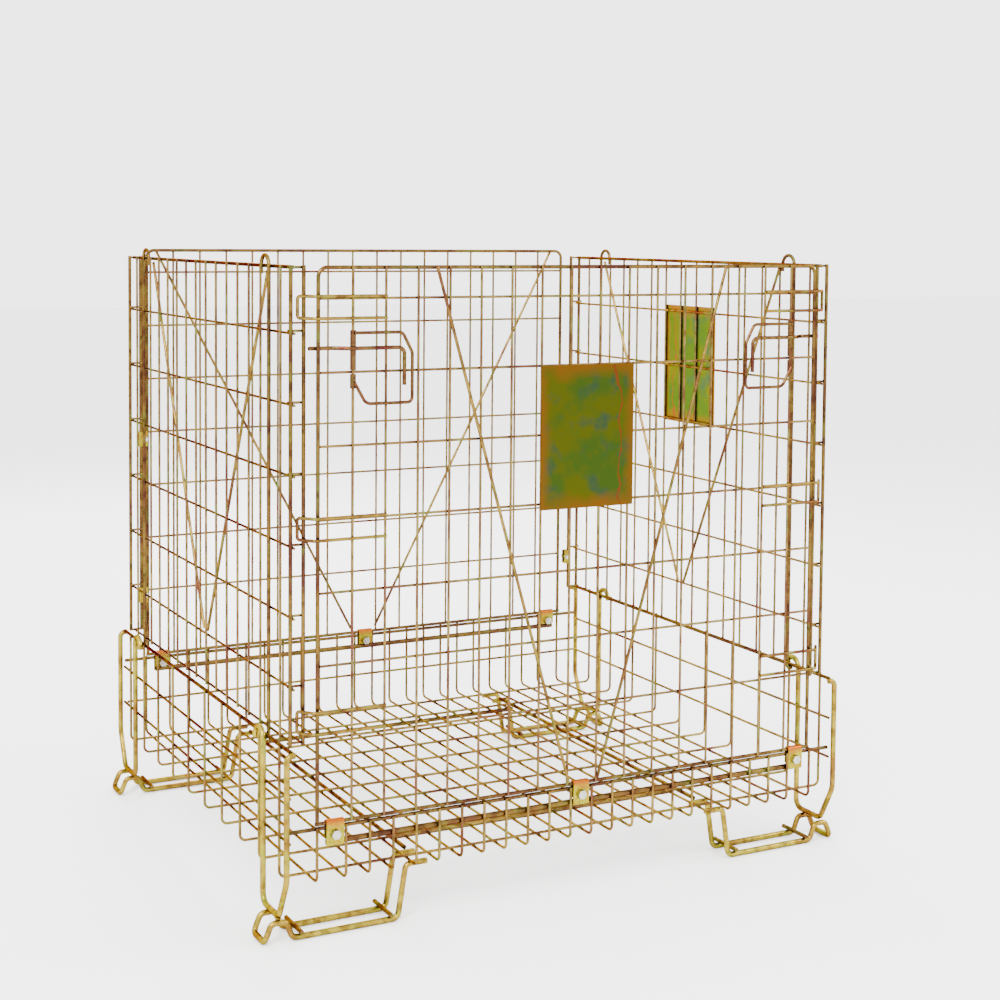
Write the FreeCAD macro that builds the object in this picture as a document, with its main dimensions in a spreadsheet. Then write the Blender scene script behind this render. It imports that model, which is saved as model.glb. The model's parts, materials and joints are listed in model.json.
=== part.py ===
"""Foldable wire mesh container: a welded wire basket on four rod feet, with four mesh panels that fold flat.

The front panel folds in first about the lowest hinge, the back panel lies over it, and the two side panels
fold last about the rims of the side walls. Millimetres, +Z up, front towards -Y, origin on the ground
below the middle of the floor.
"""
import FreeCAD, Part
import math
import os

from FreeCAD import Placement, Rotation, Vector

os.makedirs("parts", exist_ok=True)

DIMENSIONS = [
    # alias, millimetres or a count, meaning
    ("post_plane_x", 495.5, "middle of the foot posts from the centre, across the width"),
    ("post_plane_y", 438.5, "middle of the outer legs of the foot posts from the centre, front to back"),
    ("floor_height", 97, "middle of the long floor wires above the ground"),
    ("post_dia", 9, "foot post rod"),
    ("runner_dia", 9, "foot runner rod"),
    ("under_rod_dia", 8, "heavy rods under the floor"),
    ("frame_dia", 6, "panel frames, hinge rods, rims and side posts"),
    ("tie_dia", 7, "short ties across the foot runners"),
    ("basket_dia", 4.5, "floor and wall wires of the basket"),
    ("mesh_dia", 4, "mesh wires of the panels"),
    ("brace_dia", 5, "V braces, catches and latch grips"),
    ("latch_dia", 6, "latch nose rod"),
    ("long_wire_count", 10, "wires across the width, bent up into the side walls"),
    ("long_wire_pitch", 86.5, "their spacing"),
    ("first_long_wire", 36.5, "first of them from the front post plane"),
    ("cross_wire_count", 22, "wires front to back, bent up into the front and back walls"),
    ("cross_wire_pitch", 38.2, "their spacing"),
    ("end_cross_wire", 447, "one more cross wire at each end, from the centre"),
    ("basket_bend", 10, "bend radius of the basket wires"),
    ("front_lower_rod", 51, "heights above the floor from here on: lower rod of the front wall"),
    ("front_rim", 73.5, "rim of the front wall"),
    ("lower_rod_dia", 9, "lower rods of the front and back walls"),
    ("lower_rod_length", 860, "their length, from outer strap to outer strap"),
    ("front_hinge", 80.3, "hinge rod of the front panel"),
    ("back_rail", 58, "lower rail of the back wall"),
    ("back_lower_rod", 116, "rod below the rim of the back wall"),
    ("back_rim", 137.5, "rim of the back wall"),
    ("back_hinge", 144.5, "hinge rod of the back panel"),
    ("side_lower_rail", 58, "lower rail of a side wall"),
    ("side_upper_rail", 125, "upper rail of a side wall"),
    ("side_rim", 193.5, "rim of a side wall, which the side panel turns about"),
    ("front_top", 896, "top rod of the front panel"),
    ("back_top", 909, "top rod of the back panel"),
    ("side_top", 896, "top rod of a side panel"),
    ("loop_top", 912, "top of the stacking loops"),
    ("panel_half_width", 445, "stile of the front and back panels from the centre"),
    ("panel_bays", 17, "bays across the front and back panels"),
    ("panel_corner", 14, "bend radius of the panels' top corners"),
    ("row_count", 7, "mesh rows in the front and back panels"),
    ("front_row_pitch", 107.4, "their spacing in the front panel"),
    ("back_row_pitch", 100, "their spacing in the back panel"),
    ("front_row_drop", 45, "front top rod to the first row below it"),
    ("back_row_drop", 41, "back top rod to the first row below it"),
    ("side_row_count", 6, "mesh rows in a side panel"),
    ("side_row_pitch", 104, "their spacing"),
    ("side_first_row", 280, "lowest of them above the floor"),
    ("ladder_bottom", 200, "lowest rung of a side panel's corner ladder"),
    ("ladder_y", 415, "corner ladders of the side panels from the centre"),
    ("ladder_width", 20, "corner rod to return rod"),
    ("side_post_y", 325, "side posts from the centre"),
    ("side_wire_pitch", 52, "upright mesh wires of a side panel"),
    ("side_wire_pairs", 6, "upright mesh wires each side of the centre, between the posts"),
    ("side_end_wire", 371, "upright mesh wire outside each post"),
    ("eye_clearance", 0.4, "side post eye round the rim"),
    ("strap_clearance", 0.4, "hinge strap round the hinge rod"),
    ("inner_leg", 99.5, "inner leg of a foot post from its outer leg"),
    ("post_toe", 32.5, "how far the outer leg slants in at the bottom"),
    ("post_bottom", 39.5, "bottom of a foot post above the ground, at its middle"),
    ("post_rise", 11.5, "top of a foot post's loop above the rim, at its middle"),
    ("loop_width", 33, "width of a stacking loop"),
    ("runner_y", 406, "a runner's outer rod from the centre"),
    ("runner_gap", 46, "outer rod to inner rod of a runner"),
    ("hump_foot", 474, "inner foot of a runner's hump from the centre"),
    ("hump_head", 484, "inner shoulder of the hump"),
    ("hump_shoulder", 507, "outer shoulder of the hump"),
    ("runner_end", 517.5, "outer foot of the hump, where the two rods join"),
    ("riser_foot", 304, "foot of a runner's riser from the centre"),
    ("riser_head", 291, "head of the riser"),
    ("riser_end", 256, "end of the riser's tail under the floor"),
    ("inner_tie", 317, "inner tie of a runner from the centre"),
    ("outer_tie", 462, "outer tie of a runner from the centre"),
    ("under_rod_y", 290, "rods under the floor from the centre"),
    ("under_rod_length", 528, "their length"),
    ("stiffener_dia", 7, "stiffeners under the floor, front to back"),
    ("stiffener_x", 269, "stiffeners from the centre"),
    ("stiffener_length", 706, "their length"),
    ("strap_width", 28, "hinge strap"),
    ("strap_thickness", 2, "hinge strap's plate"),
    ("strap_x", 418, "outer hinge straps from the centre"),
    ("strap_leg", 33, "outer leg of a strap below the hinge rod"),
    ("strap_inner_leg", 23.5, "inner leg of a strap below the hinge rod"),
    ("bolt_drop", 17, "strap bolt below the hinge rod"),
    ("bolt_dia", 8, "strap bolt"),
    ("bolt_flats", 13, "strap bolt's head and nut across flats"),
    ("bolt_head", 5.3, "strap bolt's head"),
    ("nut_height", 6.5, "strap bolt's nut"),
    ("clip_width", 28, "corner clip"),
    ("clip_leg", 11.5, "legs of a corner clip from its rod"),
    ("clip_bolt_drop", 7.5, "clip bolt from the rod"),
    ("clip_bolt_dia", 5, "clip bolt"),
    ("clip_bolt_flats", 8, "clip bolt's head and nut across flats"),
    ("clip_bolt_head", 3.2, "clip bolt's head"),
    ("clip_nut_height", 3.5, "clip bolt's nut"),
    ("plate_width", 166, "label plates"),
    ("plate_height", 224, "label plates"),
    ("plate_thickness", 1.5, "label plates"),
    ("catch_span", 32, "legs of a spring catch, apart"),
    ("latch_gap", 0.35, "latch handle from the wires it turns past"),
]


def make_sheet(document):
    """The driving dimensions, each a plain number with an alias."""
    page = document.addObject("Spreadsheet::Sheet", "Dims")
    for row, (alias, value, meaning) in enumerate(DIMENSIONS, start=1):
        page.set(f"A{row}", meaning)
        page.set(f"B{row}", str(value))
        page.setAlias(f"B{row}", alias)
    document.recompute()
    return page


doc = FreeCAD.newDocument("wire_mesh_container")
sheet = make_sheet(doc)


def size(alias):
    """A driving dimension as a number."""
    return float(sheet.get(alias))


# Layers of wire, worked out once. Wires that cross are welded where their surfaces meet.
FLOOR_Z = size("floor_height")
POST_R = size("post_dia") / 2
RUNNER_R = size("runner_dia") / 2
FRAME_R = size("frame_dia") / 2
BASKET_R = size("basket_dia") / 2
MESH_R = size("mesh_dia") / 2
BRACE_R = size("brace_dia") / 2
LATCH_R = size("latch_dia") / 2
POST_X = size("post_plane_x")
POST_Y = size("post_plane_y")
RIM_X = POST_X - POST_R - FRAME_R
SIDE_WALL_X = RIM_X + FRAME_R + BASKET_R
RAIL_X = SIDE_WALL_X - 2 * BASKET_R
WALL_Y = POST_Y - 3.5
ROD_Y = WALL_Y - BASKET_R - FRAME_R
PANEL_WIRE_Y = ROD_Y + FRAME_R + MESH_R
PANEL_ROW_Y = PANEL_WIRE_Y - 2 * MESH_R
BRACE_Y = PANEL_WIRE_Y + MESH_R + BRACE_R
CROSS_Z = FLOOR_Z - 2 * BASKET_R
UNDER_Z = CROSS_Z - BASKET_R
RIM_Z = FLOOR_Z + size("side_rim")
EYE_R = 2 * FRAME_R + size("eye_clearance")
SIDE_POST_X = RIM_X - EYE_R
SIDE_ROW_X = SIDE_POST_X - FRAME_R - MESH_R
SIDE_WIRE_X = SIDE_ROW_X + 2 * MESH_R
SIDE_BRACE_X = SIDE_ROW_X - MESH_R - BRACE_R
SIDE_TOP_X = SIDE_POST_X - 2 * FRAME_R
RETURN_X = SIDE_POST_X - size("ladder_width")
LADDER_Y = size("ladder_y")
RUNG_Y = LADDER_Y - FRAME_R - MESH_R
BAY = 2 * size("panel_half_width") / size("panel_bays")

ALONG = {
    "x": Rotation(Vector(0, 1, 0), 90),
    "y": Rotation(Vector(1, 0, 0), -90),
    "z": Rotation(),
}
exported = []


def cylinder(name, axis, start, length, dia_alias):
    """A straight rod as a primitive bound to the sheet's diameter. start is the middle of its lower end."""
    rod = doc.addObject("Part::Cylinder", name)
    rod.setExpression("Radius", f"Dims.{dia_alias} / 2")
    rod.Height = length
    turn = ALONG[axis] if isinstance(axis, str) else Rotation(Vector(0, 0, 1), axis)
    rod.Placement = Placement(Vector(*start), turn)
    return rod


def strut(name, start, end, dia_alias):
    """A straight rod between two points."""
    span = Vector(*end) - Vector(*start)
    return cylinder(name, span, start, span.Length, dia_alias)


def sub_part(name, members):
    """Label one piece, or group identical pieces, as the node called name."""
    if len(members) == 1:
        node = members[0]
    else:
        node = doc.addObject("Part::Compound", name + "_set")
        node.Links = members
    node.Label = name
    exported.append(node)
    return node


def rounded_path(points, bends):
    """Straight runs joined by tangent arcs. bends gives the radius at each inner point."""
    nodes = [Vector(*p) for p in points]
    edges = []
    last = nodes[0]
    for i in range(1, len(nodes) - 1):
        back = (nodes[i - 1] - nodes[i]).normalize()
        ahead = (nodes[i + 1] - nodes[i]).normalize()
        half = back.getAngle(ahead) / 2
        reach = bends[i - 1] / math.tan(half)
        begin = nodes[i] + back * reach
        finish = nodes[i] + ahead * reach
        middle_line = (back + ahead).normalize()
        to_centre = bends[i - 1] / math.sin(half)
        top = nodes[i] + middle_line * (to_centre - bends[i - 1])
        if (begin - last).Length > 1e-6:
            edges.append(Part.LineSegment(last, begin).toShape())
        edges.append(Part.Arc(begin, top, finish).toShape())
        last = finish
    if (nodes[-1] - last).Length > 1e-6:
        edges.append(Part.LineSegment(last, nodes[-1]).toShape())
    return edges


def sweep(edges, radius):
    """A round rod along a chain of tangent edges."""
    path = Part.Wire(edges)
    start = edges[0].valueAt(edges[0].FirstParameter)
    heading = edges[0].tangentAt(edges[0].FirstParameter)
    profile = Part.Wire([Part.makeCircle(radius, start, heading)])
    return path.makePipeShell([profile], True, True)


def bent_rod(name, points, bends, radius):
    """A rod bent at each inner point, as a Part::Feature, because its path turns in more than one plane."""
    if not isinstance(bends, (list, tuple)):
        bends = [bends] * (len(points) - 2)
    feature = doc.addObject("Part::Feature", name)
    feature.Shape = sweep(rounded_path(points, bends), radius)
    return feature


def mirrored(points, flip_x=1, flip_y=1):
    return [(flip_x * x, flip_y * y, z) for x, y, z in points]


# ---------------------------------------------------------------- basket

def floor_long_wires():
    """Wires across the width, each bent up at both ends into a side wall."""
    wires = []
    top = RIM_Z + FRAME_R
    for i in range(int(size("long_wire_count"))):
        y = -POST_Y + size("first_long_wire") + i * size("long_wire_pitch")
        left_half = [(-SIDE_WALL_X, y, top), (-SIDE_WALL_X, y, FLOOR_Z)]
        right_half = [(SIDE_WALL_X, y, FLOOR_Z), (SIDE_WALL_X, y, top)]
        path = left_half + right_half
        wires.append(bent_rod(f"long_wire_{i}", path, size("basket_bend"), BASKET_R))
    sub_part("floor_long_wires", wires)


def floor_cross_wires():
    """Wires front to back under the long ones, bent up into the low front wall and the higher back wall."""
    wires = []
    count = int(size("cross_wire_count"))
    pitch = size("cross_wire_pitch")
    front_end = FLOOR_Z + size("front_rim") + FRAME_R - 0.5
    back_end = FLOOR_Z + size("back_rim") + FRAME_R - 0.5
    inner_places = [(i - (count - 1) / 2) * pitch for i in range(count)]
    for i, x in enumerate([-size("end_cross_wire")] + inner_places + [size("end_cross_wire")]):
        path = [(x, -WALL_Y, front_end), (x, -WALL_Y, CROSS_Z), (x, WALL_Y, CROSS_Z), (x, WALL_Y, back_end)]
        wires.append(bent_rod(f"cross_wire_{i}", path, size("basket_bend"), BASKET_R))
    sub_part("floor_cross_wires", wires)


def wall_rods():
    """Straight rods of the four low walls, and the two heavy rods under the floor."""
    half = RIM_X + 1
    for end, sign in (("front", -1), ("back", 1)):
        start = (-half, sign * ROD_Y, FLOOR_Z + size(f"{end}_rim"))
        rim = cylinder(f"{end}_rim", "x", start, 2 * half, "frame_dia")
        heavy_half = size("lower_rod_length") / 2
        heavy_y = sign * (WALL_Y - BASKET_R - size("lower_rod_dia") / 2)
        start = (-heavy_half, heavy_y, FLOOR_Z + size(f"{end}_lower_rod"))
        heavy = cylinder(f"{end}_lower_rod", "x", start, 2 * heavy_half, "lower_rod_dia")
        sub_part(f"{end}_wall_rods", [rim, heavy])
    rail_half = RAIL_X - 2 * BASKET_R
    rail_y = WALL_Y - 2 * BASKET_R
    rail_z = FLOOR_Z + size("back_rail")
    rail = cylinder("back_rail", "x", (-rail_half, rail_y, rail_z), 2 * rail_half, "basket_dia")
    sub_part("back_wall_rail", [rail])

    rim_half = POST_Y - POST_R
    rims = []
    rails = []
    for side, sign in (("left", -1), ("right", 1)):
        rims.append(cylinder(f"{side}_rim", "y", (sign * RIM_X, -rim_half, RIM_Z), 2 * rim_half, "frame_dia"))
        for alias in ("side_lower_rail", "side_upper_rail"):
            start = (sign * RAIL_X, -rim_half, FLOOR_Z + size(alias))
            rails.append(cylinder(f"{side}_{alias}", "y", start, 2 * rim_half, "basket_dia"))
    sub_part("side_rim_rods", rims)
    sub_part("side_wall_rails", rails)

    length = size("under_rod_length")
    rods = []
    for end, sign in (("front", -1), ("back", 1)):
        start = (-length / 2, sign * size("under_rod_y"), UNDER_Z - size("under_rod_dia") / 2)
        rods.append(cylinder(f"under_rod_{end}", "x", start, length, "under_rod_dia"))
    length = size("stiffener_length")
    stiffener_z = FLOOR_Z - BASKET_R - size("stiffener_dia") / 2
    for side, sign in (("left", -1), ("right", 1)):
        start = (sign * size("stiffener_x"), -length / 2, stiffener_z)
        rods.append(cylinder(f"stiffener_{side}", "y", start, length, "stiffener_dia"))
    sub_part("under_floor_rods", rods)


def foot_post_path():
    """A front-left foot post, seen from the side as a V, with a stacking loop on its inner leg."""
    outer_y = -POST_Y
    inner_y = outer_y + size("inner_leg")
    toe_y = outer_y + size("post_toe")
    tail_y = inner_y + size("loop_width")
    bottom = size("post_bottom")
    top = RIM_Z + size("post_rise")
    return [
        (-POST_X + 12.5, outer_y, RIM_Z - 3.5),
        (-POST_X, outer_y, RIM_Z - 3.5),
        (-POST_X, outer_y, FLOOR_Z + 4),
        (-POST_X, toe_y, bottom),
        (-POST_X, inner_y, bottom),
        (-POST_X, inner_y, top),
        (-POST_X, tail_y, top),
        (-POST_X, tail_y, RIM_Z - 7.5),
    ]


def runner_path(outer_y, inner_y):
    """A left-hand foot runner: two rods side by side, a hump in each, joined at the outer end."""
    ground = RUNNER_R
    under = UNDER_Z - RUNNER_R
    hump_top = size("post_bottom") - POST_R - RUNNER_R
    one_way = [
        (-size("riser_end"), under),
        (-size("riser_head"), under),
        (-size("riser_foot"), ground),
        (-size("hump_foot"), ground),
        (-size("hump_head"), hump_top),
        (-size("hump_shoulder"), hump_top),
        (-size("runner_end"), ground),
    ]
    there = [(x, outer_y, z) for x, z in one_way]
    back_again = [(x, inner_y, z) for x, z in reversed(one_way)]
    return there + back_again


def feet():
    """Four posts and the four runners that they stand on."""
    half_loop = size("loop_width") / 2 - 0.01
    post_bends = [9, 40, 14, 16, half_loop, half_loop]
    one_way_bends = [10, 10, 10, 10, 10, 8]
    runner_bends = one_way_bends + list(reversed(one_way_bends))
    outer = size("runner_y")
    inner = outer - size("runner_gap")
    tie_z = 2 * RUNNER_R + size("tie_dia") / 2
    tie_inner = inner - RUNNER_R - 8
    tie_outer = outer + RUNNER_R + 2
    ties = []
    for end, flip_y in (("front", 1), ("back", -1)):
        for side, flip_x in (("left", 1), ("right", -1)):
            name = f"foot_post_{end}_{side}"
            sub_part(name, [bent_rod(name, mirrored(foot_post_path(), flip_x, flip_y), post_bends, POST_R)])
            name = f"foot_runner_{end}_{side}"
            path = mirrored(runner_path(-outer, -inner), flip_x, flip_y)
            sub_part(name, [bent_rod(name, path, runner_bends, RUNNER_R)])
            low_y = min(-flip_y * tie_inner, -flip_y * tie_outer)
            for alias in ("inner_tie", "outer_tie"):
                start = (-flip_x * size(alias), low_y, tie_z)
                ties.append(cylinder(f"{alias}_{end}_{side}", "y", start, tie_outer - tie_inner, "tie_dia"))
    sub_part("runner_ties", ties)


# ---------------------------------------------------------------- hinge straps and bolts

def origin_plane(body, role):
    return next(f for f in body.Origin.OriginFeatures if f.Role == role)


def strap(name, legs, hole_drop, hole_dia, width_alias):
    """A plate folded over a rod along X, bolt hole through both legs. Outward is -Y, legs hang down."""
    inner = FRAME_R + size("strap_clearance")
    outer = inner + size("strap_thickness")
    body = doc.addObject("PartDesign::Body", name)
    profile = body.newObject("Sketcher::SketchObject", name + "_profile")
    profile.AttachmentSupport = [(origin_plane(body, "YZ_Plane"), "")]
    profile.MapMode = "FlatFace"
    long_leg = -legs[0]
    short_leg = -legs[1]
    corners = [
        (-inner, 0), (-inner, long_leg), (-outer, long_leg), (-outer, 0),
        (outer, 0), (outer, short_leg), (inner, short_leg), (inner, 0),
    ]
    spots = [Vector(y, z, 0) for y, z in corners]
    middle = Vector(0, 0, 0)
    up = Vector(0, 0, 1)
    pieces = [Part.LineSegment(spots[i], spots[i + 1]) for i in (0, 1, 2, 4, 5, 6)]
    pieces.append(Part.ArcOfCircle(Part.Circle(middle, up, outer), 0, math.pi))
    pieces.append(Part.ArcOfCircle(Part.Circle(middle, up, inner), 0, math.pi))
    profile.addGeometry(pieces, False)
    pad = body.newObject("PartDesign::Pad", name + "_plate")
    pad.Profile = profile
    pad.setExpression("Length", f"Dims.{width_alias}")
    doc.recompute()
    whole = pad.Shape.Volume

    hole = body.newObject("Sketcher::SketchObject", name + "_hole")
    hole.AttachmentSupport = [(origin_plane(body, "XZ_Plane"), "")]
    hole.MapMode = "FlatFace"
    centre = Vector(size(width_alias) / 2, -hole_drop, 0)
    hole.addGeometry(Part.Circle(centre, up, hole_dia / 2), False)
    cut = body.newObject("PartDesign::Pocket", name + "_bolt_hole")
    cut.Profile = hole
    cut.Type = "ThroughAll"
    cut.Midplane = True
    body.Tip = cut
    doc.recompute()
    if not cut.Shape.Volume < whole:
        raise RuntimeError(f"the bolt hole of {name} cuts nothing")
    return body


def bolt_and_nut(name, dia, flats, head, grip, nut):
    """A hexagon bolt along +Y from the underside of its head at Y 0, and its nut beyond the grip."""
    radius = dia / 2
    circle = flats / math.sqrt(3)
    cap = doc.addObject("Part::Prism", name + "_head")
    cap.Polygon = 6
    cap.Circumradius = circle
    cap.Height = head
    cap.Placement = Placement(Vector(0, -head, 0), ALONG["y"])
    shank = doc.addObject("Part::Cylinder", name + "_shank")
    shank.Radius = radius
    shank.Height = grip + nut + 2
    shank.Placement = Placement(Vector(0, 0, 0), ALONG["y"])
    bolt = doc.addObject("Part::Fuse", name)
    bolt.Base = cap
    bolt.Tool = shank
    block = doc.addObject("Part::Prism", name + "_nut_block")
    block.Polygon = 6
    block.Circumradius = circle
    block.Height = nut
    block.Placement = Placement(Vector(0, grip, 0), ALONG["y"])
    bore = doc.addObject("Part::Cylinder", name + "_nut_bore")
    bore.Radius = radius
    bore.Height = nut + 4
    bore.Placement = Placement(Vector(0, grip - 2, 0), ALONG["y"])
    nut_piece = doc.addObject("Part::Cut", name + "_nut")
    nut_piece.Base = block
    nut_piece.Tool = bore
    doc.recompute()
    return bolt, nut_piece


def copies(name, source, spots):
    """Copies of one finished piece, each put in its place."""
    members = []
    for i, spot in enumerate(spots):
        member = doc.addObject("Part::Feature", f"{name}_{i}")
        member.Shape = source.Shape
        member.Placement = spot.multiply(source.Placement)
        members.append(member)
    sub_part(name, members)


STRAP_OUT = FRAME_R + size("strap_clearance") + size("strap_thickness")


def strap_sets():
    """Three straps with a bolt and nut each, over the front and over the back hinge rod."""
    legs = (size("strap_leg"), size("strap_inner_leg"))
    plate = strap("hinge_strap", legs, size("bolt_drop"), size("bolt_dia"), "strap_width")
    bolt, nut = bolt_and_nut("strap_bolt", size("bolt_dia"), size("bolt_flats"),
                             size("bolt_head"), 2 * STRAP_OUT, size("nut_height"))
    seats = []
    for end, sign, turn in (("front", -1, Rotation()), ("back", 1, Rotation(Vector(0, 0, 1), 180))):
        z = FLOOR_Z + size(f"{end}_hinge")
        straps = []
        for x in (-size("strap_x"), 0, size("strap_x")):
            offset = turn.multVec(Vector(-size("strap_width") / 2, 0, 0))
            straps.append(Placement(Vector(x, sign * ROD_Y, z) + offset, turn))
            seats.append(Placement(Vector(x, sign * (ROD_Y + STRAP_OUT), z - size("bolt_drop")), turn))
        copies(f"{end}_hinge_straps", plate, straps)
    copies("strap_bolts", bolt, seats)
    copies("strap_nuts", nut, seats)


# ---------------------------------------------------------------- front and back panels

def wide_panel(end, sign, brace_foot, brace_head):
    """Hinge rod, bent frame, mesh and V brace of the front or back panel."""
    hinge_z = FLOOR_Z + size(f"{end}_hinge")
    top_z = FLOOR_Z + size(f"{end}_top")
    half = size("panel_half_width")
    y = sign * ROD_Y
    rod = cylinder(f"{end}_hinge_rod", "x", (-half - FRAME_R, y, hinge_z), 2 * (half + FRAME_R), "frame_dia")
    sub_part(f"{end}_hinge_rod", [rod])

    foot = hinge_z + FRAME_R
    path = [(-half, y, foot), (-half, y, top_z), (half, y, top_z), (half, y, foot)]
    sub_part(f"{end}_frame", [bent_rod(f"{end}_frame", path, size("panel_corner"), FRAME_R)])

    uprights = []
    for i in range(1, int(size("panel_bays"))):
        start = (-half + i * BAY, sign * PANEL_WIRE_Y, hinge_z)
        uprights.append(cylinder(f"{end}_upright_{i}", "z", start, top_z + MESH_R - hinge_z, "mesh_dia"))
    sub_part(f"{end}_mesh_uprights", uprights)

    row_half = half - FRAME_R
    rows = []
    for i in range(int(size("row_count"))):
        z = top_z - size(f"{end}_row_drop") - i * size(f"{end}_row_pitch")
        start = (-row_half, sign * PANEL_ROW_Y, z)
        rows.append(cylinder(f"{end}_row_{i}", "x", start, 2 * row_half, "mesh_dia"))
    sub_part(f"{end}_mesh_rows", rows)

    braces = []
    for side in (-1, 1):
        foot = (side * brace_foot, sign * BRACE_Y, hinge_z + 7)
        head = (side * brace_head, sign * BRACE_Y, top_z)
        braces.append(strut(f"{end}_brace_{side + 1}", foot, head, "brace_dia"))
    sub_part(f"{end}_braces", braces)


def label_plate(name, spot):
    """A thin blank plate that a paper label clips to, lying in X and Z with its back at Y 0."""
    body = doc.addObject("PartDesign::Body", name + "_body")
    outline = body.newObject("Sketcher::SketchObject", name + "_outline")
    outline.AttachmentSupport = [(origin_plane(body, "XZ_Plane"), "")]
    outline.MapMode = "FlatFace"
    half_w = size("plate_width") / 2
    half_h = size("plate_height") / 2
    signs = ((-1, -1), (1, -1), (1, 1), (-1, 1))
    corners = [Vector(sign_w * half_w, sign_h * half_h, 0) for sign_w, sign_h in signs]
    outline.addGeometry([Part.LineSegment(corners[i], corners[(i + 1) % 4]) for i in range(4)], False)
    pad = body.newObject("PartDesign::Pad", name + "_sheet")
    pad.Profile = outline
    pad.setExpression("Length", "Dims.plate_thickness")
    body.Tip = pad
    body.Placement = spot
    sub_part(name, [body])


def spring_catches(side, sign):
    """Three U-shaped spring wires whose closed ends hook between the two rods of a corner ladder."""
    leg_end = size("panel_half_width") - 2 * BAY
    hook_x = (SIDE_POST_X + RETURN_X) / 2
    catches = []
    for i, z in enumerate((345, 629.5, 951.5)):
        low = z - size("catch_span")
        path = [
            (sign * leg_end, -BRACE_Y, z),
            (sign * 453, -BRACE_Y, z),
            (sign * hook_x, -LADDER_Y - 1, z),
            (sign * hook_x, -LADDER_Y - 1, low),
            (sign * 453, -BRACE_Y, low),
            (sign * leg_end, -BRACE_Y, low),
        ]
        catches.append(bent_rod(f"catch_{side}_{i}", path, [8, 5, 5, 8], BRACE_R))
    sub_part(f"spring_catches_{side}", catches)


def latch(side, sign):
    """A latch handle that turns about the first mesh upright: two sleeves, a nose rod and a D-shaped grip."""
    pivot_x = size("panel_half_width") - BAY
    gap = size("latch_gap")
    rod_y = -(PANEL_WIRE_Y + MESH_R + gap + LATCH_R)
    grip_y = -(PANEL_WIRE_Y + MESH_R + gap + BRACE_R)
    behind_y = -(ROD_Y - FRAME_R - gap - LATCH_R)
    nose_x = RETURN_X - FRAME_R - 1.1
    rod_z = 875.6
    nose = [
        (sign * nose_x, behind_y, rod_z),
        (sign * 421, behind_y, rod_z),
        (sign * 399, rod_y, rod_z),
        (sign * 313, rod_y, rod_z),
        (sign * 313, rod_y, 820),
    ]
    grip = [
        (sign * pivot_x, grip_y, 898),
        (sign * 316, grip_y, 898),
        (sign * 300, grip_y, 868),
        (sign * 300, grip_y, 794),
        (sign * 374, grip_y, 794),
        (sign * (pivot_x - 0.5), grip_y, 826),
    ]
    sleeve_r = MESH_R + 2.4
    pivot = Vector(sign * pivot_x, -PANEL_WIRE_Y, 0)
    row_z = FLOOR_Z + size("front_top") - size("front_row_drop") - size("front_row_pitch")
    row_room = MESH_R + 0.9
    shape = sweep(rounded_path(nose, [9, 9, 10]), LATCH_R)
    shape = shape.fuse(sweep(rounded_path(grip, [10, 16, 8, 14]), BRACE_R))
    for low, high in ((817, row_z - row_room), (row_z + row_room, 902)):
        shape = shape.fuse(Part.makeCylinder(sleeve_r, high - low, pivot + Vector(0, 0, low)))
    shape = shape.cut(Part.makeCylinder(MESH_R + gap, 130, pivot + Vector(0, 0, 790)))
    handle = doc.addObject("Part::Feature", f"latch_handle_{side}")
    handle.Shape = shape.removeSplitter()
    sub_part(f"latch_handle_{side}", [handle])


# ---------------------------------------------------------------- side panels

def side_post_edges(sign, flip_y):
    """A side post: an eye round the rim at its foot and a stacking loop at its head."""
    x = sign * SIDE_POST_X
    y = flip_y * size("side_post_y")
    tail_y = y - flip_y * size("loop_width")
    top = FLOOR_Z + size("loop_top")
    tail_end = FLOOR_Z + size("side_top") - 12
    centre = Vector(sign * RIM_X, y, RIM_Z)

    def on_eye(degrees):
        angle = math.radians(degrees)
        return centre + Vector(sign * EYE_R * math.cos(angle), 0, EYE_R * math.sin(angle))

    eye = Part.Arc(on_eye(300), on_eye(240), on_eye(180)).toShape()
    half_loop = size("loop_width") / 2 - 0.01
    points = [tuple(on_eye(180)), (x, y, top), (x, tail_y, top), (x, tail_y, tail_end)]
    rest = rounded_path(points, [half_loop, half_loop])
    return [eye] + rest


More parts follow.
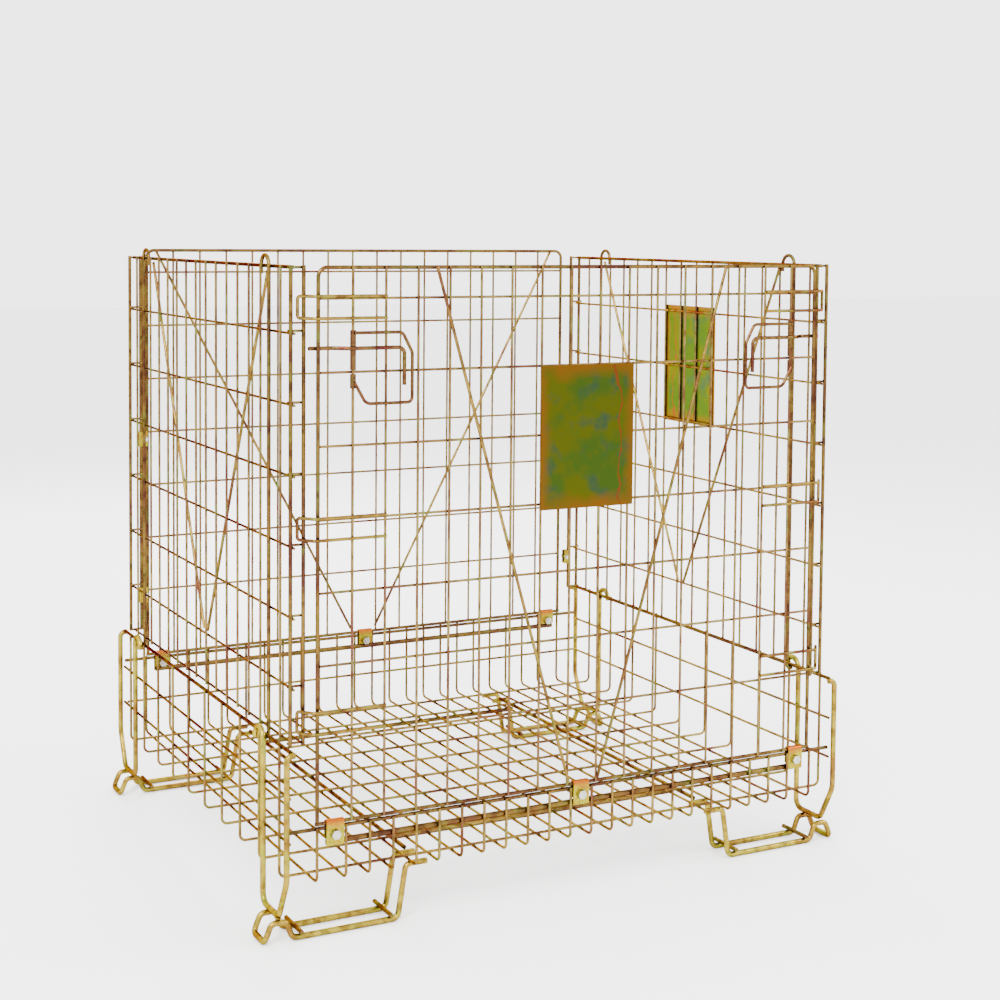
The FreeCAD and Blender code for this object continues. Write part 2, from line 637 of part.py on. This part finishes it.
def side_panel(side, sign):
    """Posts, corner ladders, top rod, mesh and V brace of a side panel."""
    top_z = FLOOR_Z + size("side_top")
    low_z = FLOOR_Z + size("ladder_bottom")
    posts = []
    for flip_y in (-1, 1):
        post = doc.addObject("Part::Feature", f"{side}_post_{flip_y + 1}")
        post.Shape = sweep(side_post_edges(sign, flip_y), FRAME_R)
        posts.append(post)
    sub_part(f"{side}_side_posts", posts)

    corners = []
    for flip_y in (-1, 1):
        for i, x in enumerate((SIDE_POST_X, RETURN_X)):
            start = (sign * x, flip_y * LADDER_Y, low_z - FRAME_R)
            height = top_z - low_z + 2 * FRAME_R
            corners.append(cylinder(f"{side}_ladder_{flip_y + 1}_{i}", "z", start, height, "frame_dia"))
    sub_part(f"{side}_ladder_rods", corners)

    first_row_z = FLOOR_Z + size("side_first_row")
    row_heights = [first_row_z + i * size("side_row_pitch") for i in range(int(size("side_row_count")))]
    rungs = []
    reach = size("ladder_width") + 2 * FRAME_R
    for flip_y in (-1, 1):
        for i, z in enumerate([low_z] + row_heights + [top_z]):
            x = sign * (RETURN_X - FRAME_R) if sign > 0 else sign * (SIDE_POST_X + FRAME_R)
            lift = 0 if z in (low_z, top_z) else 2 * MESH_R
            start = (x, flip_y * RUNG_Y, z + lift)
            rungs.append(cylinder(f"{side}_rung_{flip_y + 1}_{i}", "x", start, reach, "mesh_dia"))
    sub_part(f"{side}_ladder_rungs", rungs)

    row_end = LADDER_Y + FRAME_R - 0.5
    rows = []
    for i, z in enumerate(row_heights):
        rows.append(cylinder(f"{side}_row_{i}", "y", (sign * SIDE_ROW_X, -row_end, z), 2 * row_end, "mesh_dia"))
    sub_part(f"{side}_mesh_rows", rows)

    inner_end = RUNG_Y - MESH_R
    top_start = (sign * SIDE_TOP_X, -inner_end, top_z)
    top = cylinder(f"{side}_top_rod", "y", top_start, 2 * inner_end, "frame_dia")
    bottom_start = (sign * SIDE_ROW_X, -inner_end, low_z)
    bottom = cylinder(f"{side}_bottom_rod", "y", bottom_start, 2 * inner_end, "mesh_dia")
    sub_part(f"{side}_top_and_bottom", [top, bottom])

    uprights = []
    pitch = size("side_wire_pitch")
    places = [pitch * (i + 0.5) for i in range(int(size("side_wire_pairs")))] + [size("side_end_wire")]
    for i, y in enumerate([-y for y in reversed(places)] + places):
        start = (sign * SIDE_WIRE_X, y, low_z - MESH_R)
        uprights.append(cylinder(f"{side}_upright_{i}", "z", start, top_z - low_z + 2 * MESH_R, "mesh_dia"))
    sub_part(f"{side}_mesh_uprights", uprights)

    braces = []
    for flip_y in (-1, 1):
        foot = (sign * SIDE_BRACE_X, flip_y * 9, FLOOR_Z + 284)
        head = (sign * SIDE_BRACE_X, flip_y * 295, top_z - 7)
        braces.append(strut(f"{side}_brace_{flip_y + 1}", foot, head, "brace_dia"))
    sub_part(f"{side}_braces", braces)


def corner_clips():
    """Bolted clips round the back return rods, where a side panel meets the back panel."""
    legs = (size("clip_leg"), size("clip_leg"))
    drop = size("clip_bolt_drop")
    plate = strap("corner_clip", legs, drop, size("clip_bolt_dia"), "clip_width")
    bolt, nut = bolt_and_nut("clip_bolt", size("clip_bolt_dia"), size("clip_bolt_flats"),
                             size("clip_bolt_head"), 2 * STRAP_OUT, size("clip_nut_height"))
    about_z = Rotation(Vector(0, 0, 1), 180)
    half = size("clip_width") / 2
    for side, sign in (("left", -1), ("right", 1)):
        lie_down = Rotation(Vector(0, 0, sign), Vector(0, -1, 0), Vector(sign, 0, 0), "XYZ")
        plates = []
        seats = []
        for z in (FLOOR_Z + 263, FLOOR_Z + 557):
            plates.append(Placement(Vector(sign * RETURN_X, LADDER_Y, z - sign * half), lie_down))
            seats.append(Placement(Vector(sign * (RETURN_X - drop), LADDER_Y + STRAP_OUT, z), about_z))
        copies(f"{side}_corner_clips", plate, plates)
        copies(f"{side}_clip_bolts", bolt, seats)
        copies(f"{side}_clip_nuts", nut, seats)


floor_long_wires()
floor_cross_wires()
wall_rods()
feet()
strap_sets()
wide_panel("front", -1, BAY / 2, 259)
wide_panel("back", 1, BAY / 2, 425)
label_plate(
    "front_label_plate",
    Placement(Vector(3, -(PANEL_WIRE_Y + MESH_R), FLOOR_Z + 632), Rotation()),
)
for side, sign in (("left", -1), ("right", 1)):
    spring_catches(side, sign)
    latch(side, sign)
    side_panel(side, sign)
corner_clips()
label_plate(
    "right_label_plate",
    Placement(Vector(SIDE_WIRE_X + MESH_R, -3, FLOOR_Z + 699), Rotation(Vector(0, 0, 1), 90)),
)

doc.recompute()
for item in doc.Objects:
    if {"Invalid", "Error"} & set(item.State):
        raise RuntimeError(f"{item.Label} did not recompute: {item.State}")
for node in exported:
    if node.Shape.isNull() or not node.Shape.isValid():
        raise RuntimeError(f"{node.Label} has no valid shape")
for node in exported:
    node.Shape.exportStep(f"parts/{node.Label}.step")
    box = node.Shape.BoundBox
    extents = (box.XMin, box.YMin, box.ZMin, box.XMax, box.YMax, box.ZMax)
    print(node.Label, len(node.Shape.Solids), [round(value, 1) for value in extents])
print(len(exported), "nodes")
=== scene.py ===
"""Looks for the foldable wire mesh container: yellow-chromated zinc, weld nuggets, studio and camera."""

import json
import math

import bmesh
import bpy
import numpy as np
from mathutils import Matrix, Vector


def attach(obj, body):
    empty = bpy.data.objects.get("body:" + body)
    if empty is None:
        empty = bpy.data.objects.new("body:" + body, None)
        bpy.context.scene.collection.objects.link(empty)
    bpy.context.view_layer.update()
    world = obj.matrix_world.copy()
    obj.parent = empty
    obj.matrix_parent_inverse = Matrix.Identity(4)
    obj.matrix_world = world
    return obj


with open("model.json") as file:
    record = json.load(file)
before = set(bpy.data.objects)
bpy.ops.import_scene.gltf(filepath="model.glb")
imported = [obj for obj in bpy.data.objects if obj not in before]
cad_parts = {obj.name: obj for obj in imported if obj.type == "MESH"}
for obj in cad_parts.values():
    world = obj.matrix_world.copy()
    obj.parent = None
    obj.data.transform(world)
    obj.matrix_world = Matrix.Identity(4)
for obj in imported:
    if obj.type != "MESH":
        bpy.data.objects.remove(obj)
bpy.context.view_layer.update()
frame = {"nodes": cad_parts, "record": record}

TOUCH = 0.0004          # wires this close are welded
NUGGET = 0.0021         # radius of a resistance weld's nugget
PEEN = 0.0034           # radius of a weld under the heavy rods
BASKET_WIRE_R = 0.00225
STAIN_SCALE = 11.0

SLOT_LOOKS = {
    # slot: base gold, warm stain, green stain, how far the stains show, roughness
    "foot_rod_zinc": ((0.310, 0.235, 0.024), (0.160, 0.064, 0.016), (0.200, 0.225, 0.020), 0.90, 0.24),
    "frame_rod_zinc": ((0.135, 0.080, 0.018), (0.062, 0.020, 0.014), (0.092, 0.098, 0.018), 0.95, 0.22),
    "basket_wire_zinc": ((0.225, 0.148, 0.030), (0.095, 0.030, 0.018), (0.145, 0.162, 0.030), 0.95, 0.22),
    "mesh_wire_zinc": ((0.190, 0.124, 0.034), (0.100, 0.032, 0.022), (0.120, 0.148, 0.036), 0.90, 0.23),
    "brace_wire_zinc": ((0.205, 0.132, 0.024), (0.088, 0.027, 0.016), (0.130, 0.144, 0.024), 0.95, 0.22),
    "strap_zinc": ((0.300, 0.260, 0.010), (0.270, 0.110, 0.006), (0.220, 0.290, 0.030), 0.80, 0.26),
    "bolt_zinc": ((0.480, 0.480, 0.440), (0.210, 0.170, 0.090), (0.330, 0.370, 0.350), 0.40, 0.20),
}
HANDLE_LOOK = ((0.120, 0.066, 0.020), (0.075, 0.018, 0.014), (0.090, 0.080, 0.018), 0.95, 0.22)
STAIN_SIZE = {"strap_zinc": 55.0, "bolt_zinc": 120.0, "latch_handle_zinc": 24.0}
EDGE_TINT = (0.42, 0.30, 0.20)      # the film reads browner where the surface turns away
PLATE_EDGE_TINT = (0.34, 0.32, 0.12)
PLATE_OLIVE = (0.042, 0.047, 0.0040)
PLATE_MOSS = (0.024, 0.045, 0.0060)
PLATE_TEAL = (0.018, 0.036, 0.0180)
PLATE_RUST = (0.090, 0.038, 0.0040)
PLATE_RED = (0.090, 0.024, 0.0060)
RIGHT_PLATE_LIGHTNESS = 3.0                   # the right plate's film colours are three times as light as the front plate's
STRAP_RUST = (0.300, 0.075, 0.006)
DARK_STAIN = 0.45                   # a dark streak's share of the warm stain's colour
GRAIN_SCALE = 900
MIX_A, MIX_B, MIX_RESULT = 6, 7, 2  # colour sockets of a Mix node


def link(tree, source, output, target, socket):
    tree.links.new(source.outputs[output], target.inputs[socket])


def new_material(name):
    """A material with its node tree and its shader."""
    material = bpy.data.materials.new(name)
    material.use_nodes = True
    tree = material.node_tree
    return material, tree, tree.nodes["Principled BSDF"]


def noise(tree, scale, detail, coordinates):
    node = tree.nodes.new("ShaderNodeTexNoise")
    node.inputs["Scale"].default_value = scale
    node.inputs["Detail"].default_value = detail
    node.inputs["Roughness"].default_value = 0.55
    link(tree, coordinates, "Object", node, "Vector")
    return node


def ramp(tree, source, stops):
    """The colour socket of a grey ramp over a noise, from (position, level) stops."""
    node = tree.nodes.new("ShaderNodeValToRGB")
    for element, (position, level) in zip(node.color_ramp.elements, stops):
        element.position = position
        element.color = (level, level, level, 1)
    link(tree, source, "Fac", node, "Fac")
    return node.outputs["Color"]


def calculate(tree, operation, first, *others):
    """The result socket of a Math node on a socket and on further sockets or numbers."""
    node = tree.nodes.new("ShaderNodeMath")
    node.operation = operation
    tree.links.new(first, node.inputs[0])
    for place, value in enumerate(others, start=1):
        if isinstance(value, float):
            node.inputs[place].default_value = value
        else:
            tree.links.new(value, node.inputs[place])
    return node.outputs[0]


def map_range(tree, value, from_low, from_high, to_low=0.0, to_high=1.0):
    node = tree.nodes.new("ShaderNodeMapRange")
    tree.links.new(value, node.inputs["Value"])
    node.inputs["From Min"].default_value = from_low
    node.inputs["From Max"].default_value = from_high
    node.inputs["To Min"].default_value = to_low
    node.inputs["To Max"].default_value = to_high
    return node.outputs["Result"]


def mix(tree, factor, first, second):
    """A colour mix by a factor socket. first and second are each a colour or another mix."""
    node = tree.nodes.new("ShaderNodeMix")
    node.data_type = "RGBA"
    tree.links.new(factor, node.inputs["Factor"])
    for value, socket in ((first, MIX_A), (second, MIX_B)):
        if isinstance(value, tuple):
            node.inputs[socket].default_value = (*value, 1)
        else:
            tree.links.new(value.outputs[MIX_RESULT], node.inputs[socket])
    return node


def bump(tree, height, strength, distance, shader):
    node = tree.nodes.new("ShaderNodeBump")
    node.inputs["Strength"].default_value = strength
    node.inputs["Distance"].default_value = distance
    link(tree, height, "Fac", node, "Height")
    link(tree, node, "Normal", shader, "Normal")


def chromated_zinc(name, gold, warm, green, strength, roughness, stain_scale):
    """Passivated zinc: gold that drifts to rose and to green in soft stains, with a fine satin grain."""
    material, tree, shader = new_material(name)
    coordinates = tree.nodes.new("ShaderNodeTexCoord")
    broad = noise(tree, stain_scale, 3, coordinates)
    patches = noise(tree, stain_scale * 2.7, 4, coordinates)
    drips = noise(tree, stain_scale * 6, 3, coordinates)
    grain = noise(tree, GRAIN_SCALE, 2, coordinates)
    dark = tuple(DARK_STAIN * c for c in warm)

    colour = mix(tree, ramp(tree, broad, ((0.42, 0), (0.66, strength))), gold, warm)
    colour = mix(tree, ramp(tree, patches, ((0.50, 0), (0.72, strength))), colour, green)
    colour = mix(tree, ramp(tree, drips, ((0.45, 0), (0.66, 0.75 * strength))), colour, dark)
    tree.links.new(colour.outputs[MIX_RESULT], shader.inputs["Base Color"])

    satin = map_range(tree, patches.outputs["Fac"], 0.3, 0.7, roughness - 0.07, roughness + 0.13)
    tree.links.new(satin, shader.inputs["Roughness"])
    bump(tree, grain, 0.12, 0.0004, shader)
    shader.inputs["Metallic"].default_value = 1.0
    shader.inputs["Specular Tint"].default_value = (*EDGE_TINT, 1)
    return material


def rusted_fold(material):
    """A hinge strap's copy of the film: orange over the fold at the top, paling towards the bottom edge."""
    folded = material.copy()
    folded.name = "hinge_strap_zinc"
    tree = folded.node_tree
    shader = tree.nodes["Principled BSDF"]
    film = shader.inputs["Base Color"].links[0].from_node
    height = tree.nodes.new("ShaderNodeSeparateXYZ")
    coordinates = tree.nodes.new("ShaderNodeTexCoord")
    tree.links.new(coordinates.outputs["Generated"], height.inputs[0])
    mask = map_range(tree, height.outputs["Z"], 0.66, 0.92)
    over = mix(tree, mask, film, STRAP_RUST)
    tree.links.new(over.outputs[MIX_RESULT], shader.inputs["Base Color"])
    return folded


def edge_distance(tree, coordinate):
    """0 at both ends of a 0 to 1 coordinate, 1 in its middle."""
    return calculate(tree, "MULTIPLY", calculate(tree, "PINGPONG", coordinate, 0.5), 2.0)


def rim_rust(tree, coordinates, width, height):
    """A mask with a ragged inner edge, full at a plate's rim."""
    rim = calculate(tree, "MINIMUM", edge_distance(tree, width), edge_distance(tree, height))
    ragged = calculate(tree, "MULTIPLY_ADD", noise(tree, 26, 3, coordinates).outputs["Fac"], -0.34, rim)
    return map_range(tree, ragged, -0.16, 0.06, 1.0, 0.0)


def rust_run(tree, coordinates, width):
    """A mask for one thin run that wanders down a plate near its far edge."""
    wander = calculate(tree, "MULTIPLY_ADD", noise(tree, 15, 4, coordinates).outputs["Fac"], 0.35, width)
    return calculate(tree, "COMPARE", wander, 1.0, 0.008)


def stained_plate(name, width_axis, lightness):
    """A label plate: olive film with moss and teal pools, rust round its rim and one red run near an edge."""
    films = (PLATE_OLIVE, PLATE_MOSS, PLATE_TEAL, PLATE_RUST, PLATE_RED)
    olive, moss, teal, rust, red = (tuple(lightness * c for c in film) for film in films)
    material, tree, shader = new_material(name)
    coordinates = tree.nodes.new("ShaderNodeTexCoord")
    across = tree.nodes.new("ShaderNodeSeparateXYZ")
    tree.links.new(coordinates.outputs["Generated"], across.inputs[0])
    width = across.outputs[width_axis]

    moss_pools = ramp(tree, noise(tree, 17, 3, coordinates), ((0.38, 0), (0.54, 1)))
    teal_pools = ramp(tree, noise(tree, 23, 4, coordinates), ((0.53, 0), (0.66, 0.9)))
    specks = ramp(tree, noise(tree, 55, 3, coordinates), ((0.56, 0), (0.72, 0.75)))
    colour = mix(tree, moss_pools, olive, moss)
    colour = mix(tree, teal_pools, colour, teal)
    colour = mix(tree, specks, colour, olive)
    colour = mix(tree, rim_rust(tree, coordinates, width, across.outputs["Z"]), colour, rust)
    colour = mix(tree, rust_run(tree, coordinates, width), colour, red)
    tree.links.new(colour.outputs[MIX_RESULT], shader.inputs["Base Color"])

    bump(tree, noise(tree, 12, 2, coordinates), 0.25, 0.002, shader)
    shader.inputs["Metallic"].default_value = 1.0
    shader.inputs["Roughness"].default_value = 0.34
    shader.inputs["Specular Tint"].default_value = (*PLATE_EDGE_TINT, 1)
    return material


def paint_cad_nodes():
    materials = {}
    for slot_name, look in SLOT_LOOKS.items():
        materials[slot_name] = chromated_zinc(slot_name, *look, STAIN_SIZE.get(slot_name, STAIN_SCALE))
    fold = rusted_fold(materials["strap_zinc"])
    handle = chromated_zinc("latch_handle_zinc", *HANDLE_LOOK, STAIN_SIZE["latch_handle_zinc"])
    special = {
        "latch_handle_left": handle,
        "latch_handle_right": handle,
        "front_label_plate": stained_plate("front_label_zinc", "X", 1.0),
        "right_label_plate": stained_plate("right_label_zinc", "Y", RIGHT_PLATE_LIGHTNESS),
        "front_hinge_straps": fold,
        "back_hinge_straps": fold,
    }
    for entry in frame["record"]["subparts"]:
        node = frame["nodes"][entry["node"]]
        chosen = special.get(entry["node"]) or materials[entry["material_slot"]]
        if not node.material_slots:
            node.data.materials.append(chosen)
        for slot in node.material_slots:
            slot.material = chosen
    return materials


def islands(node):
    """The box of each separate wire in a CAD node, as (low, high) arrays."""
    mesh = frame["nodes"][node].data
    points = np.array([v.co for v in mesh.vertices])
    _, same_place = np.unique(points.round(6), axis=0, return_inverse=True)
    same_place = same_place.reshape(-1)
    owner = np.arange(same_place.max() + 1)
    edges = same_place[np.array([e.vertices for e in mesh.edges])]
    while True:
        low = np.minimum(owner[edges[:, 0]], owner[edges[:, 1]])
        before = owner.copy()
        np.minimum.at(owner, edges[:, 0], low)
        np.minimum.at(owner, edges[:, 1], low)
        owner = owner[owner]
        if np.array_equal(owner, before):
            break
    groups = owner[same_place]
    return [(points[groups == g].min(0), points[groups == g].max(0)) for g in np.unique(groups)]


def crossings(first, second):
    """Where straight wires of one node touch straight wires of another."""
    spots = []
    for low_a, high_a in islands(first):
        for low_b, high_b in islands(second):
            low = np.maximum(low_a, low_b)
            high = np.minimum(high_a, high_b)
            if (low <= high + TOUCH).all():
                spots.append(Vector((low + high) / 2))
    return spots


def nuggets(name, body, spots, radius, material):
    """One mesh of small round beads, one at each weld."""
    shape = bmesh.new()
    for spot in spots:
        bmesh.ops.create_icosphere(shape, subdivisions=1, radius=radius, matrix=Matrix.Translation(spot))
    mesh = bpy.data.meshes.new(name)
    shape.to_mesh(mesh)
    shape.free()
    for polygon in mesh.polygons:
        polygon.use_smooth = True
    mesh.materials.append(material)
    beads = bpy.data.objects.new(name, mesh)
    bpy.context.scene.collection.objects.link(beads)
    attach(beads, body)


def floor_crossings():
    """Every place where a long floor wire lies on a cross wire."""
    long_wires = islands("floor_long_wires")
    cross_wires = islands("floor_cross_wires")
    height = (long_wires[0][0][2] + cross_wires[0][0][2]) / 2 + BASKET_WIRE_R
    spots = []
    for low_a, high_a in long_wires:
        for low_b, high_b in cross_wires:
            spots.append(Vector(((low_b[0] + high_b[0]) / 2, (low_a[1] + high_a[1]) / 2, height)))
    return spots


def weld(materials):
    """Nuggets on every body's mesh."""
    basket_look = materials["basket_wire_zinc"]
    mesh_look = materials["mesh_wire_zinc"]
    nuggets("floor_welds", "base", floor_crossings(), NUGGET, basket_look)
    for end in ("front", "back"):
        spots = crossings(f"{end}_mesh_uprights", f"{end}_mesh_rows")
        spots += crossings(f"{end}_mesh_uprights", f"{end}_hinge_rod")
        nuggets(f"{end}_welds", f"{end}_panel", spots, NUGGET, mesh_look)
    for side in ("left", "right"):
        spots = crossings(f"{side}_mesh_uprights", f"{side}_mesh_rows")
        spots += crossings(f"{side}_mesh_uprights", f"{side}_top_and_bottom")
        spots += crossings(f"{side}_ladder_rods", f"{side}_ladder_rungs")
        spots += crossings(f"{side}_ladder_rods", f"{side}_mesh_rows")
        nuggets(f"{side}_welds", f"{side}_panel", spots, NUGGET, mesh_look)
    heavy = []
    for end in ("front", "back"):
        for side in ("left", "right"):
            heavy += crossings("runner_ties", f"foot_runner_{end}_{side}")
    nuggets("runner_welds", "base", heavy, PEEN, materials["foot_rod_zinc"])


def plain_material(name, colour, roughness):
    material, _, shader = new_material(name)
    shader.inputs["Base Color"].default_value = (*colour, 1)
    shader.inputs["Roughness"].default_value = roughness
    return material


def area_light(name, location, target, width, power, colour):
    light = bpy.data.lights.new(name, "AREA")
    light.size = width
    light.energy = power
    light.color = colour
    lamp = bpy.data.objects.new(name, light)
    lamp.location = location
    aim = Vector(target) - Vector(location)
    lamp.rotation_euler = aim.to_track_quat("-Z", "Y").to_euler()
    bpy.context.scene.collection.objects.link(lamp)


def studio():
    """A pale floor, a soft bright room and three large soft lights."""
    bpy.ops.mesh.primitive_plane_add(size=40, location=(0, 0, -0.0005))
    floor = bpy.context.object
    floor.name = "studio_floor"
    floor.data.materials.append(plain_material("studio_white", (0.90, 0.90, 0.895), 0.75))

    world = bpy.data.worlds.new("studio_room")
    world.use_nodes = True
    backdrop = world.node_tree.nodes["Background"]
    backdrop.inputs["Color"].default_value = (1.0, 1.0, 1.0, 1)
    backdrop.inputs["Strength"].default_value = 3.8
    bpy.context.scene.world = world

    area_light("key", (-2.6, -2.8, 3.4), (0, 0, 0.5), 1.8, 330, (1.0, 0.98, 0.95))
    area_light("fill", (3.2, -1.6, 2.2), (0, 0, 0.5), 1.6, 150, (0.96, 0.98, 1.0))
    area_light("rim", (0.6, 3.4, 2.8), (0, 0, 0.5), 1.6, 180, (1.0, 1.0, 1.0))


def photo_camera():
    """The viewing angle: from the front left, a little above the container's top edge."""
    yaw = math.radians(27.70)
    pitch = math.radians(-3.28)
    roll = 0.0082
    forward = Vector((math.sin(yaw) * math.cos(pitch), math.cos(yaw) * math.cos(pitch), math.sin(pitch)))
    level = forward.cross(Vector((0, 0, 1))).normalized()
    upright = level.cross(forward)
    right = level * math.cos(roll) + upright * math.sin(roll)
    up = right.cross(forward)
    lens = bpy.data.cameras.new("photo_camera")
    lens.sensor_width = 36
    lens.lens = 63.43
    lens.shift_y = -0.168
    camera = bpy.data.objects.new("photo_camera", lens)
    turn = Matrix((right, up, -forward)).transposed().to_4x4()
    camera.matrix_world = Matrix.Translation((-1.3915, -2.7963, 1.0473)) @ turn
    bpy.context.scene.collection.objects.link(camera)
    bpy.context.scene.camera = camera


looks = paint_cad_nodes()
weld(looks)
studio()
photo_camera()
